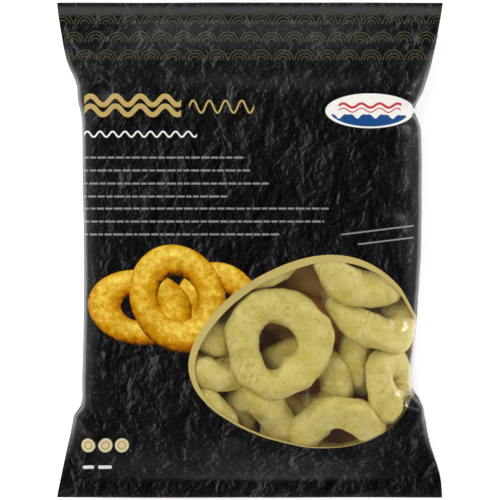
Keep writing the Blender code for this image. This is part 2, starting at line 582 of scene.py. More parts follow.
    def build_mesh(self) -> bmesh.types.BMesh:
        """Makes the whole film as one closed skin with its print coordinates.

        Returns:
            The skin.
        """
        skin = bmesh.new()
        rows, columns = self.points.shape[:2]
        bmesh.ops.create_grid(skin, x_segments=columns - 1, y_segments=rows - 1, size=0.5)
        prints = skin.loops.layers.uv.new("print")
        place: dict[bmesh.types.BMVert, tuple[int, int]] = {}
        for vert in skin.verts:
            column = round((vert.co.x + 0.5) * (columns - 1))
            row = round((vert.co.y + 0.5) * (rows - 1))
            place[vert] = (row, column)
        for face in skin.faces:
            for loop in face.loops:
                loop[prints].uv = self.uv[place[loop.vert]]
        for vert, index in place.items():
            vert.co = self.points[index]
        self.close_seams(skin)
        return skin

    @staticmethod
    def close_seams(skin: bmesh.types.BMesh) -> None:
        """Joins the film's two long edges at the back and its two layers at the end of each seal.

        Args:
            skin: The whole film.
        """
        bmesh.ops.remove_doubles(skin, verts=[v for v in skin.verts if v.is_boundary], dist=5e-6)
        rim = [e for e in skin.edges if e.is_boundary]
        bmesh.ops.holes_fill(skin, edges=rim, sides=0)
        bmesh.ops.triangulate(skin, faces=[f for f in skin.faces if len(f.verts) > 4])
        bmesh.ops.recalc_face_normals(skin, faces=skin.faces[:])

    @staticmethod
    def cut_opening(skin: bmesh.types.BMesh) -> list[bmesh.types.BMFace]:
        """Cuts the skin along the window's opening.

        Args:
            skin: The whole film.

        Returns:
            The faces inside the opening.
        """
        prints = skin.loops.layers.uv["print"]
        levels: dict[bmesh.types.BMVert, float] = {}
        for face in skin.faces:
            for loop in face.loops:
                u, v = loop[prints].uv
                levels[loop.vert] = float(OPENING.level(np.float64(u), np.float64(v)))
        cuts = []
        for edge in [e for e in skin.edges if levels[e.verts[0]] * levels[e.verts[1]] < 0]:
            first, second = edge.verts
            share = levels[first] / (levels[first] - levels[second])
            _, vert = bmesh.utils.edge_split(edge, first, min(0.98, max(0.02, share)))
            levels[vert] = 0.0
            cuts.append(vert)
        bmesh.ops.connect_verts(skin, verts=cuts)
        inside = []
        for face in skin.faces:
            if sum(levels[v] for v in face.verts) < 0:
                inside.append(face)
        return inside


@dataclass
class Room:
    """Where the middle of a ball may be inside the film, as the highest and lowest height over a grid."""

    ball: float
    step: float = 2 * MM
    rim: float = 4 * MM
    longest_move: float = 4 * MM
    steepest: float = 3.0
    x: np.ndarray = field(default_factory=lambda: np.zeros(0))
    y: np.ndarray = field(default_factory=lambda: np.zeros(0))
    lid: np.ndarray = field(default_factory=lambda: np.zeros((0, 0)))
    top: np.ndarray = field(default_factory=lambda: np.zeros((0, 0)))
    floor: np.ndarray = field(default_factory=lambda: np.zeros((0, 0)))

    def heights(self, film: BVHTree, start: float, way: int) -> np.ndarray:
        """The film's height over the grid, seen from above or below.

        Args:
            film: The film's surface.
            start: The height that the look starts from.
            way: -1 to look down, 1 to look up.

        Returns:
            The heights. Past the film's edge they lie far on the other side, so that nothing fits there.
        """
        missed = start + way * 1.0
        grid = np.full((len(self.y), len(self.x)), missed)
        for row, column in np.ndindex(grid.shape):
            hit = film.ray_cast(Vector((self.x[column], self.y[row], start)), Vector((0, 0, way)))[0]
            if hit is not None:
                grid[row, column] = hit.z
        return np.where(grid == missed, start + way * 0.25, grid)

    def measure(self, film: BVHTree) -> None:
        """Measures the film over a grid and draws it in by the ball's radius.

        Args:
            film: The film's surface.
        """
        low, high = CAD_BOX
        self.x = np.arange(low[0] - self.rim, high[0] + self.rim, self.step)
        self.y = np.arange(low[1] - self.rim, high[1] + self.rim, self.step)
        self.lid = self.heights(film, high[2] + 0.1, -1)
        base = self.heights(film, low[2] - 0.1, 1)
        top, floor = self.lid - self.ball, base + self.ball
        reach = int(self.ball / self.step)
        for row in range(-reach, reach + 1):
            for column in range(-reach, reach + 1):
                side = math.hypot(row, column) * self.step
                if side < self.ball:
                    drop = math.sqrt(self.ball**2 - side**2)
                    top = np.minimum(top, np.roll(self.lid, (row, column), axis=(0, 1)) - drop)
                    floor = np.maximum(floor, np.roll(base, (row, column), axis=(0, 1)) + drop)
        self.top, self.floor = top, floor

    def depth(self, spot: Vector) -> float:
        """Measures a depth in the bag.

        Args:
            spot: A point.

        Returns:
            How far it lies under the film.
        """
        column = min(len(self.x) - 1, max(0, round((spot.x - self.x[0]) / self.step)))
        row = min(len(self.y) - 1, max(0, round((spot.y - self.y[0]) / self.step)))
        return float(self.lid[row, column]) - spot.z

    def push_in(self, points: np.ndarray) -> np.ndarray:
        """How far each point has to move to be inside.

        Args:
            points: Middles of balls.

        Returns:
            Their moves.
        """
        column = np.clip((points[:, 0] - self.x[0]) / self.step, 1, len(self.x) - 3)
        row = np.clip((points[:, 1] - self.y[0]) / self.step, 1, len(self.y) - 3)
        c, r = column.astype(int), row.astype(int)
        move = np.zeros_like(points)
        for grid, side in ((self.top, 1.0), (self.floor, -1.0)):
            fx, fy = column - c, row - r
            here = grid[r, c] * (1 - fx) * (1 - fy) + grid[r, c + 1] * fx * (1 - fy)
            here += grid[r + 1, c] * (1 - fx) * fy + grid[r + 1, c + 1] * fx * fy
            slope_x = np.clip((grid[r, c + 1] - grid[r, c]) / self.step, -self.steepest, self.steepest)
            slope_y = np.clip((grid[r + 1, c] - grid[r, c]) / self.step, -self.steepest, self.steepest)
            over = np.maximum((points[:, 2] - here) * side, 0.0)
            share = over / (1 + slope_x**2 + slope_y**2)
            move += np.stack([slope_x * share * side, slope_y * share * side, -share * side], axis=-1)
        return np.clip(move, -self.longest_move, self.longest_move)


@dataclass(frozen=True)
class RingPlace:
    """Where the middle of one squid ring lies before it settles, how it leans, and its own size."""

    x: float
    y: float
    z: float
    tilt: float
    bearing: float
    outer: float = 66 * MM
    pinch: float = 1.0
    hold: float = 0.05


@dataclass
class RingPile:
    """The battered rings that lie under the window, settled so that they hardly press into one another."""

    tube_wide: float = 20.5 * MM
    tube_thick: float = 17.0 * MM
    beads: int = 22
    passes: int = 260
    ease: float = 0.45
    film_gap: float = 0.4 * MM
    give: float = 0.6 * MM
    press_reach: float = 14 * MM
    hole_wobble: float = 1.1 * MM
    rim_wobble: float = 1.1 * MM
    lump: float = 1.45 * MM
    grain: float = 0.24 * MM
    furrow: float = 0.75 * MM
    bend: float = 0.9 * MM
    shown: tuple[RingPlace, ...] = (
        RingPlace(0.0140, -0.0562, 0.0535, 3, 0, 0.0625, 1.12, 0.80),
        RingPlace(0.0705, -0.0050, 0.0490, 12, 0, 0.0690, 1.0, 0.70),
        RingPlace(0.0860, -0.0400, 0.0330, 52, 8, 0.0570, 1.06, 0.50),
        RingPlace(0.0800, -0.0620, 0.0260, 66, 0, 0.0540, 1.0, 0.55),
        RingPlace(0.0860, -0.0810, 0.0300, 62, -12, 0.0470, 1.05, 0.50),
        RingPlace(0.0570, -0.1110, 0.0340, 34, -75, 0.0610, 1.0, 0.65),
        RingPlace(-0.0340, -0.1020, 0.0380, 34, -95, 0.0600, 1.0, 0.40),
        RingPlace(0.0080, -0.1020, 0.0290, 24, -70, 0.0600, 0.72, 0.40),
        RingPlace(-0.0200, -0.0710, 0.0460, 22, 5, 0.0450, 0.60, 0.45),
        RingPlace(-0.0200, -0.0340, 0.0430, 20, 30, 0.0620, 1.0, 0.60),
        RingPlace(0.0060, 0.0085, 0.0490, 6, 90, 0.0620, 1.0, 0.60),
        RingPlace(0.0370, -0.0800, 0.0370, 12, -150, 0.0600, 1.0, 0.75),
    )
    beneath: tuple[RingPlace, ...] = (
        RingPlace(-0.0620, -0.0620, 0.0380, 20, 180, 0.0620, 1.0, 0.08),
        RingPlace(-0.0520, -0.0720, 0.0160, 4, 60, 0.0620, 1.0, 0.05),
        RingPlace(0.0040, -0.0550, 0.0130, 3, 0, 0.0600, 1.0, 0.05),
        RingPlace(0.0450, 0.0000, 0.0180, 6, 200, 0.0620, 1.0, 0.05),
        RingPlace(-0.0200, 0.0000, 0.0180, 10, 100, 0.0620, 1.0, 0.05),
    )
    # Painted shade: the depths under the film over which lower rings are painted browner.
    shade_from: float = 27 * MM
    shade_to: float = 48 * MM
    poses: list[Matrix] = field(default_factory=list)
    room: Room = field(default_factory=lambda: Room(0.01))

    def places(self) -> list[RingPlace]:
        """All the rings' places before they settle, those that the window shows first."""
        return [*self.shown, *self.beneath]

    def beads_of(self, place: RingPlace) -> np.ndarray:
        """Strings the beads that stand for a ring's tube while it settles.

        Args:
            place: The ring's size.

        Returns:
            The beads' middles, in a flat ring at the origin.
        """
        angle = 2 * math.pi * np.arange(self.beads) / self.beads
        crest = (place.outer - self.tube_wide) / 2
        parts = (crest * np.cos(angle), crest * place.pinch * np.sin(angle), np.zeros(self.beads))
        return np.stack(parts, axis=-1)

    @staticmethod
    def start_pose(place: RingPlace) -> Matrix:
        """Poses a ring before it settles.

        Args:
            place: Where it lies and how it leans.

        Returns:
            Its pose.
        """
        tilt = Matrix.Rotation(math.radians(place.tilt), 4, "Y")
        turn = Matrix.Rotation(math.radians(place.bearing), 4, "Z")
        return Matrix.Translation((place.x, place.y, place.z)) @ turn @ tilt

    def settle(self, film: BVHTree) -> None:
        """Pushes the rings apart and inside the film, while each is drawn less and less to its own place.

        Args:
            film: The film's surface.
        """
        radius = (self.tube_wide + self.tube_thick) / 4
        room = Room(radius - self.give)
        room.measure(film)
        self.room = room
        places = self.places()
        rest = np.array([self.beads_of(p) for p in places])
        start = [self.start_pose(p) for p in places]
        turn = np.array([np.array(m.to_3x3()) for m in start])
        shift = np.array([m.translation[:] for m in start])
        hold = np.array([p.hold for p in places])[:, None, None]
        wanted = np.einsum("nij,nkj->nki", turn, rest) + shift[:, None]
        centred = rest - rest.mean(axis=1, keepdims=True)
        owner = np.repeat(np.arange(len(places)), self.beads)
        apart = owner[:, None] != owner[None]
        for step in range(self.passes):
            beads = np.einsum("nij,nkj->nki", turn, rest) + shift[:, None]
            flat = beads.reshape(-1, 3)
            away = flat[:, None] - flat[None]
            far = np.linalg.norm(away, axis=-1) + 1e-9
            overlap = np.where(apart, np.maximum(2 * radius - far, 0.0), 0.0)
            push = (away * (overlap / far)[..., None]).sum(axis=1) * self.ease + room.push_in(flat)
            fade = 1.0 - step / self.passes
            target = beads + push.reshape(beads.shape) + (wanted - beads) * hold * fade
            shift = target.mean(axis=1)
            spread = np.einsum("nki,nkj->nij", target - shift[:, None], centred)
            left, _, right = np.linalg.svd(spread)
            left[:, :, 2] *= np.linalg.det(left @ right)[:, None]
            turn = left @ right
        moved = np.linalg.norm(shift - wanted.mean(axis=1), axis=-1)
        out = np.linalg.norm(room.push_in(flat), axis=-1).max()
        log.info(
            "%d rings settled: overlap %.2f mm, out of the film %.2f mm, moved %s mm",
            len(places), overlap.max() / MM, out / MM, np.round(moved / MM).astype(int).tolist(),
        )
        self.poses = []
        for ring_turn, ring_shift in zip(turn, shift):
            pose = Matrix(ring_turn.tolist()).to_4x4()
            pose.translation = Vector(ring_shift)
            self.poses.append(pose)

    def plain_ring(self, around: int, about: int) -> bmesh.types.BMesh:
        """A thin plain ring, spun from a circle, that every battered ring starts from.

        Args:
            around: Steps around the ring.
            about: Steps about its tube.

        Returns:
            The ring, one unit from its middle to its tube's.
        """
        ring = bmesh.new()
        # Per-point layers for the painted shade: in creases and dips, and deeper under the film.
        ring.verts.layers.float.new("crease")
        ring.verts.layers.float.new("shade")
        standing = Matrix.Translation((1, 0, 0)) @ Matrix.Rotation(math.pi / 2, 4, "X")
        bmesh.ops.create_circle(ring, segments=about, radius=0.1, matrix=standing)
        bmesh.ops.spin(
            ring, geom=[*ring.verts, *ring.edges], cent=(0, 0, 0), axis=(0, 0, 1),
            angle=2 * math.pi, steps=around, use_merge=True,
        )
        bmesh.ops.recalc_face_normals(ring, faces=ring.faces[:])
        return ring

    def ring_point(self, spot: Vector, place: RingPlace, index: int) -> tuple[Vector, float]:
        """Moves a point of a thin plain ring out to the uneven battered surface.

        Args:
            spot: The point on the plain ring.
            place: The ring's size.
            index: The ring's number, which seeds its own shape.

        Returns:
            The point on the batter, and how deep in a crease it lies, from 0 to 1, which sets the painted
            shade there.
        """
        crest = (place.outer - self.tube_wide) / 2
        ring_angle = math.atan2(spot.y, spot.x)
        tube_angle = math.atan2(spot.z, math.hypot(spot.x, spot.y) - 1)
        seed = 1.7 * index + 0.9

        def sway(rate: int, phase: float) -> float:
            """A wave round the ring, shifted by the ring's own seed."""
            return math.sin(rate * ring_angle + phase * seed)

        wide = self.tube_wide / 2 * (1 + 0.08 * sway(1, 1) + 0.05 * sway(2, 2.3) + 0.03 * sway(5, 0.7))
        thick = self.tube_thick / 2 * (1 + 0.06 * sway(1, 1.9) + 0.05 * sway(3, 1))
        radius = crest * (1 + 0.025 * sway(2, 1.1) + 0.02 * sway(3, 1))
        c, s = math.cos(tube_angle), math.sin(tube_angle)
        square = (abs(c) ** 2.4 + abs(s) ** 2.4) ** (-1 / 2.4)
        out, up = wide * square * c, thick * square * s
        if c < 0:
            out -= c * self.hole_wobble * (sway(3, 1.3) + 0.6 * sway(4, 2.9))
        else:
            out += c * self.rim_wobble * sway(5, 0.9) * sway(2, 1)
        bend = self.bend * sway(2, 3.1)
        away = Vector((math.cos(ring_angle), place.pinch * math.sin(ring_angle), 0))
        side = Vector((math.cos(ring_angle) * place.pinch, math.sin(ring_angle), 0)).normalized()
        base = away * radius + side * out + Vector((0, 0, up + bend))
        normal = (side * (c / wide) + Vector((0, 0, s / thick))).normalized()
        sample = base + Vector((0, 0, 0.31 * index))
        lumps = noise.fractal(sample / (13 * MM), 0.9, 2.0, 2)
        grain = noise.fractal(sample / (2.6 * MM), 0.8, 2.0, 3)
        stretched = Vector((ring_angle * crest / (3.6 * MM), tube_angle * 1.1, seed))
        furrow = abs(noise.noise(stretched + 0.35 * Vector((lumps, lumps, 0))))
        furrow = max(0.0, 1 - furrow / 0.16) * max(0.0, noise.noise(sample / (16 * MM)) + 0.25)
        shift = self.lump * lumps + self.grain * grain - self.furrow * furrow
        # The second value sets how much painted crease shade the point gets.
        return base + normal * shift, min(1.0, 0.9 * furrow + 0.35 * max(0.0, -grain))

    def pressed(self, spot: Vector, film: BVHTree) -> Vector:
        """Brings a point of a ring's surface back inside the film, so that a ring lies flat against it.

        Args:
            spot: The point.
            film: The film's surface.

        Returns:
            The point, moved where it would have gone through.
        """
        wall, out, _, _ = film.find_nearest(spot, self.press_reach)
        if wall is None or (spot - wall).dot(out) < -self.film_gap:
            return spot
        return wall - out * self.film_gap

    def build(self, film: BVHTree) -> list[bpy.types.Object]:
        """Makes the rings that the window shows in fine mesh, and those beneath them in coarser mesh.

        Args:
            film: The film's surface.

        Returns:
            The two pieces.
        """
        places = self.places()
        pieces = []
        groups = (
            ("squid_rings_shown", range(0, len(self.shown)), 132, 46),
            ("squid_rings_beneath", range(len(self.shown), len(places)), 84, 30),
        )
        for name, members, around, about in groups:
            plain = self.plain_ring(around, about)
            pile = bmesh.new()
            for index in members:
                ring = plain.copy()
                crease = ring.verts.layers.float["crease"]
                shade = ring.verts.layers.float["shade"]
                for vert in ring.verts:
                    spot, vert[crease] = self.ring_point(vert.co, places[index], index)
                    vert.co = self.pressed(self.poses[index] @ spot, film)
                    # Painted shade: the deeper a point lies under the film, the browner it is painted.
                    painted_deep_shade = (self.room.depth(vert.co) - self.shade_from) / (self.shade_to - self.shade_from)
                    vert[shade] = min(1.0, max(0.0, painted_deep_shade))
                data = bpy.data.meshes.new("one_ring")
                ring.to_mesh(data)
                pile.from_mesh(data)
                ring.free()
                bpy.data.meshes.remove(data)
            plain.free()
            pieces.append(new_piece(name, pile))
            log.info("%s made", name)
        return pieces

    def surfaces(self, pieces: list[bpy.types.Object]) -> BVHTree:
        """Joins the rings' surfaces, for laying the film over them.

        Args:
            pieces: The pieces that hold the rings.

        Returns:
            Their surface.
        """
        joined = bmesh.new()
        for piece in pieces:
            joined.from_mesh(piece.data)
        tree = BVHTree.FromBMesh(joined)
        joined.free()
        return tree


def new_piece(name: str, shape: bmesh.types.BMesh) -> bpy.types.Object:
    """Turns a bmesh into a smooth-shaded object at the origin.

    Args:
        name: The piece's name.
        shape: Its mesh, which is freed.

    Returns:
        The object.
    """
    data = bpy.data.meshes.new(name)
    shape.to_mesh(data)
    shape.free()
    data.shade_smooth()
    piece = bpy.data.objects.new(name, data)
    bpy.context.scene.collection.objects.link(piece)
    return piece


def principled(name: str) -> tuple[bpy.types.Material, bpy.types.NodeTree, bpy.types.Node]:
    """Starts a material.

    Args:
        name: Its name.

    Returns:
        The material, its tree and its Principled shader.
    """
    material = bpy.data.materials.new(name)
    material.use_nodes = True
    tree = material.node_tree
    return material, tree, tree.nodes["Principled BSDF"]


@dataclass(frozen=True)
class Batter:
    """Pale pre-fried batter, wet-dipped and frozen: satin, a little translucent, with painted shade in its
    creases.

    Lower rings get painted shade: they are mixed browner as their depth under the film grows, standing in
    for light that has passed over yellow batter many times.
    """

    pale: str = "#dacd80"
    yellow: str = "#cbba5a"
    # Painted shade: the brown mixed into creases and dips in the grain.
    crease: str = "#a9853a"
    fleck: str = "#b3924a"
    # Painted shade: the warm brown that lower rings are painted towards.
    painted_deep_shade: str = "#d9923a"
    painted_crease_share: float = 0.65
    roughness: float = 0.50
    depth_of_glow: float = 3.0 * MM
    patch_size: float = 11 * MM
    fleck_size: float = 3.2 * MM
    grain_size: float = 1.1 * MM
    grain_depth: float = 0.2 * MM

    def material(self) -> bpy.types.Material:
        """Mixes the batter's tones.

        Returns:
            The batter's material.
        """
        material, tree, shader = principled("frozen_batter")
        spot = add_node(tree, "ShaderNodeTexCoord").outputs["Object"]
        patches = add_node(
            tree, "ShaderNodeTexNoise", Vector=spot, Scale=1 / self.patch_size, Detail=3.0, Roughness=0.55
        )
        tone = add_node(tree, "ShaderNodeValToRGB", Fac=patches.outputs["Fac"])
        set_stops(tone.color_ramp, ((0.34, self.yellow), (0.64, self.pale)))
        flecks = add_node(tree, "ShaderNodeTexNoise", Vector=spot, Scale=1 / self.fleck_size, Detail=1.0)
        fleck_mask = add_node(
            tree, "ShaderNodeMapRange", Value=flecks.outputs["Fac"],
            From_Min=0.665, From_Max=0.74, To_Min=0.0, To_Max=0.55,
        )
        # Painted shade: browner where the attribute marks a crease or a dip in the grain.
        painted_crease_shade = Number(add_node(tree, "ShaderNodeAttribute", {"attribute_name": "crease"}).outputs["Fac"])
        shaded = Number(add_node(tree, "ShaderNodeAttribute", {"attribute_name": "shade"}).outputs["Fac"])
        colour = tone.outputs["Color"]
        for mask, tint in (
            (fleck_mask.outputs[0], self.fleck),
            (painted_crease_shade * self.painted_crease_share, self.crease),
            (shaded, self.painted_deep_shade),
        ):
            mix = add_node(
                tree, "ShaderNodeMix", {"data_type": "RGBA"}, in_0=mask, in_6=colour, in_7=srgb(tint)
            )
            colour = mix.outputs[2]
        grain = add_node(tree, "ShaderNodeTexNoise", Vector=spot, Scale=1 / self.grain_size, Detail=3.0)
        bump = add_node(
            tree, "ShaderNodeBump", Strength=0.30, Distance=self.grain_depth, Height=grain.outputs["Fac"]
        )
        tree.links.new(colour, shader.inputs["Base Color"])
        tree.links.new(bump.outputs["Normal"], shader.inputs["Normal"])
        shader.inputs["Roughness"].default_value = self.roughness
        shader.inputs["IOR"].default_value = 1.42
        shader.inputs["Subsurface Weight"].default_value = 0.35
        shader.inputs["Subsurface Radius"].default_value = (1.0, 0.65, 0.25)
        shader.inputs["Subsurface Scale"].default_value = self.depth_of_glow
        return material


@dataclass(frozen=True)
class ClearFilm:
    """Clear polyethylene film, 70 microns, cast: almost unseen but for its soft glints and a faint haze."""

    haze_and_crease_glints: str = "#f6ebc6"
    haze_share: float = 0.006
    facing_gloss: float = 0.024
    roughness: float = 0.15
    ripple_size: float = 9 * MM
    ripple_depth: float = 0.5 * MM
    # Painted highlights: pale haze lines along the film's creases that stand in for their glints.
    crease_size: float = 13 * MM
    crease_turn: float = 52.0
    painted_crease_share: float = 0.11
    crease_patch: float = 18 * MM

    def creases(self, tree: bpy.types.NodeTree, spot: bpy.types.NodeSocket) -> Number:
        """The share of pale haze painted along the film's fine stretch creases as highlights: slanted lines,
        in patches.

        Args:
            tree: The film's material.
            spot: Where a point of the film lies.

        Returns:
            The share, 0 beside the lines.
        """
        drawn = add_node(
            tree, "ShaderNodeMapping", Vector=spot,
            Rotation=(0, 0, math.radians(self.crease_turn)), Scale=(1.0, 0.12, 0.12),
        )
        fold = add_node(
            tree, "ShaderNodeTexNoise", Vector=drawn.outputs[0], Scale=1 / self.crease_size, Detail=0.0
        )
        line = add_node(
            tree, "ShaderNodeMapRange", Value=abs(Number(fold.outputs["Fac"]) - 0.5),
            From_Min=0.0, From_Max=0.024, To_Min=self.painted_crease_share, To_Max=0.0,
        )
        patch = add_node(tree, "ShaderNodeTexNoise", Vector=spot, Scale=1 / self.crease_patch, Detail=1.0)
        inside = add_node(
            tree, "ShaderNodeMapRange", Value=patch.outputs["Fac"], From_Min=0.52, From_Max=0.66
        )
        return Number(line.outputs[0]) * inside.outputs[0]

    def material(self) -> bpy.types.Material:
        """Makes the film's gloss the same from both sides, as a thin sheet's is.

        Returns:
            The clear film's material.
        """
        material = bpy.data.materials.new("clear_polyethylene_film")
        material.use_nodes = True
        tree = material.node_tree
        tree.nodes.remove(tree.nodes["Principled BSDF"])
        spot = add_node(tree, "ShaderNodeTexCoord").outputs["Object"]
        ripple = add_node(tree, "ShaderNodeTexNoise", Vector=spot, Scale=1 / self.ripple_size, Detail=2.0)
        normal = add_node(
            tree, "ShaderNodeBump", Strength=0.35, Distance=self.ripple_depth, Height=ripple.outputs["Fac"]
        ).outputs["Normal"]
        clear = add_node(tree, "ShaderNodeBsdfTransparent")
        gloss = add_node(
            tree, "ShaderNodeBsdfGlossy", Color=(1, 1, 1, 1), Roughness=self.roughness, Normal=normal
        )
        milk = add_node(tree, "ShaderNodeBsdfDiffuse", Color=srgb(self.haze_and_crease_glints), Normal=normal)
        edge_on = Number(add_node(tree, "ShaderNodeLayerWeight", Blend=0.5, Normal=normal).outputs["Facing"])
        mirror = edge_on.do("POWER", 5.0) * (1 - self.facing_gloss) + self.facing_gloss
        # Painted highlights: the crease lines' pale haze, added to the film's faint even haze.
        haze_and_crease_glints = self.creases(tree, spot) + self.haze_share
        hazed = add_node(tree, "ShaderNodeMixShader", Fac=haze_and_crease_glints, in_1=clear.outputs[0], in_2=milk.outputs[0])
        mixed = add_node(
            tree, "ShaderNodeMixShader", Fac=mirror, in_1=hazed.outputs[0], in_2=gloss.outputs[0]
        )
        tree.links.new(mixed.outputs[0], tree.nodes["Material Output"].inputs["Surface"])
        return material


class Ink(Enum):
    """The print's inks, as sRGB."""

    SLATE_DARK = "#030303"
    SLATE_MID = "#161617"
    SLATE_PALE = "#5a5a5c"
    # Painted highlight: the pale band on the top seal where a glossy reflection would fall.
    SEAL_HIGHLIGHT = "#454643"
    GOLD = "#bda262"
    FAINT_GOLD = "#565038"
    WHITE = "#f1efe9"
    GREY = "#8f8e8b"
    CREAM = "#c4b16a"
    FRIED_PALE = "#ffe262"
    FRIED = "#d0980a"
    FRIED_DEEP = "#a35c06"
    FRIED_EDGE = "#452404"
    DISC = "#e3d6ab"
    BLUE = "#1e4c86"
    RED = "#c8363a"


@dataclass(frozen=True)
class Line:
    """One line of small print: its height along the film and where it ends, from the left margin on."""

    y: float
    x1: float


@dataclass(frozen=True)
class FriedRing:
    """One plain golden ring of the print: its middle, half its two sizes, its slant and its hole's share."""

    x: float
    y: float
    half_long: float
    half_high: float
    turn: float
    hole: float


@dataclass(frozen=True)
class PrintedFilm:
    """Reverse-printed polyethylene film: charcoal slate under a soft satin sheen, with gold and pale inks."""

    roughness: float = 0.26
    sheen: float = 0.09
    # Painted light: the warm orange on the film's inner side stands in for light bounced off the rings.
    inner_painted_glow: str = "#e3933a"
    ripple_size: float = 6 * MM
    ripple_depth: float = 0.35 * MM
    # Where the painted highlight band on the top seal runs.
    seal_highlight_line: float = 144.6 * MM
    back_seal: float = 12 * MM
    slate_size: float = 12 * MM
    slate_turn: float = -32.0
    slate_light: float = 0.7 * MM
    slate_relief: float = 4.5
    slate_level: float = 0.40
    cloud_size: float = 45 * MM
    cloud_share: float = 0.40
    scale_pitch: float = 13.3 * MM
    scale_rows: tuple[float, ...] = (114.6 * MM, 125.5 * MM, 136.4 * MM)
    scale_radii: tuple[float, ...] = (6.1 * MM, 4.2 * MM, 2.3 * MM)
    scale_line: float = 0.55 * MM
    scale_tone: float = 0.8
    left_margin: float = -100.0 * MM
    dash_pitch: float = 5.2 * MM
    dash_height: float = 1.1 * MM
    mottle_size: float = 4 * MM
    lines: tuple[Line, ...] = (
        Line(0.0558, -0.0030), Line(0.0480, 0.0000), Line(0.0401, 0.0121), Line(0.0323, -0.0139),
        Line(0.0250, 0.0483), Line(0.0172, 0.0447), Line(0.0094, 0.0175),
    )
    rings: tuple[FriedRing, ...] = (
        FriedRing(-19.0 * MM, -36.0 * MM, 26.0 * MM, 29.0 * MM, 20.0, 0.40),
        FriedRing(-66.5 * MM, -34.8 * MM, 31.6 * MM, 22.6 * MM, -8.0, 0.36),
        FriedRing(-43.5 * MM, -29.5 * MM, 28.4 * MM, 33.6 * MM, 25.0, 0.42),
    )

    def slate(self, tree: bpy.types.NodeTree) -> bpy.types.NodeSocket:
        """The ground of the print: split slate lit from one side.

        The light and dark of each ridge is the difference between two readings of one stone's height.

        Args:
            tree: The film's material.

        Returns:
            The slate's colour.
        """
        spot = add_node(tree, "ShaderNodeTexCoord").outputs["Object"]
        heights = []
        for shift in (0.0, self.slate_light):
            moved = add_node(
                tree, "ShaderNodeMapping", Vector=spot, Location=(shift, -shift, 0),
                Rotation=(0, 0, math.radians(self.slate_turn)), Scale=(1.0, 0.75, 1.0),
            )
            stone = add_node(
                tree, "ShaderNodeTexNoise", Vector=moved.outputs[0], Scale=1 / self.slate_size, Detail=6.0,
                Roughness=0.60, Distortion=0.3,
            )
            heights.append(Number(stone.outputs["Fac"]))
        cloud = add_node(tree, "ShaderNodeTexNoise", Vector=spot, Scale=1 / self.cloud_size, Detail=2.0)
        drift = (Number(cloud.outputs["Fac"]) - 0.5) * self.cloud_share
        lit = (heights[0] - heights[1]) * self.slate_relief + drift + self.slate_level
        tone = add_node(tree, "ShaderNodeValToRGB", Fac=lit)
        set_stops(
            tone.color_ramp,
            ((0.15, Ink.SLATE_DARK.value), (0.50, Ink.SLATE_MID.value), (1.0, Ink.SLATE_PALE.value)),
        )
        return tone.outputs["Color"]

    def seal_masks(self, tree: bpy.types.NodeTree) -> tuple[Number, Number]:
        """Finds the seals on the bag.

        Args:
            tree: The film's material.

        Returns:
            The mask of the painted highlight band along the top seal, and that of the two edges of the seal
            on the back.
        """
        where = add_node(tree, "ShaderNodeTexCoord").outputs["Object"]
        spot = add_node(tree, "ShaderNodeSeparateXYZ", Vector=where).outputs
        seal_highlight = add_node(
            tree, "ShaderNodeMapRange", {"interpolation_type": "SMOOTHSTEP"},
            Value=abs(Number(spot["Y"]) - self.seal_highlight_line),
            From_Min=1.2 * MM, From_Max=4.2 * MM, To_Min=0.8, To_Max=0.0,
        )
        edge = add_node(
            tree, "ShaderNodeMapRange", Value=abs(abs(Number(spot["X"])) - self.back_seal / 2),
            From_Min=0.2 * MM, From_Max=0.5 * MM, To_Min=0.7, To_Max=0.0,
        )
        under = add_node(
            tree, "ShaderNodeMapRange", Value=spot["Z"],
            From_Min=14 * MM, From_Max=15 * MM, To_Min=1.0, To_Max=0.0,
        )
        return Number(seal_highlight.outputs[0]), Number(edge.outputs[0]) * under.outputs[0]

    def fish_scales(self, sheet: Sheet) -> None:
        """Prints bands of thin fish scales across the top of the bag.

        Args:
            sheet: The print so far.
        """
        for number, y in enumerate(self.scale_rows):
            start = self.scale_pitch / 2 * (number % 2)
            cell = ((sheet.across + start) / self.scale_pitch).do("FRACT") - 0.5
            rise = sheet.along - y
            out = sheet.length(cell * self.scale_pitch, rise)
            tone = (rise * -1).mask() * self.scale_tone
            for radius in self.scale_radii:
                sheet.paint((abs(out - radius) - self.scale_line / 2).mask(0.35 * MM) * tone, Ink.FAINT_GOLD)

    def small_print(self, sheet: Sheet) -> None:
        """Prints the small print's dashes, of uneven length, with no letters in them.

        Args:
            sheet: The print so far.
        """
        dashes = (sheet.across - self.left_margin) / self.dash_pitch
        for line in self.lines:
            number = dashes.do("FLOOR") + line.y * 1000
            draw = add_node(sheet.tree, "ShaderNodeTexWhiteNoise", {"noise_dimensions": "1D"}, W=number)
            gap_at = Number(draw.outputs["Value"]) * 0.5 + 0.25
            off_gap = abs(dashes.do("FRACT") - gap_at)
            dash = ((off_gap - 0.09) * -self.dash_pitch).mask(0.3 * MM)
            height = (abs(sheet.along - line.y) - self.dash_height / 2).mask(0.5 * MM)
            sheet.paint(dash * height * sheet.span(self.left_margin, line.x1), Ink.GREY)

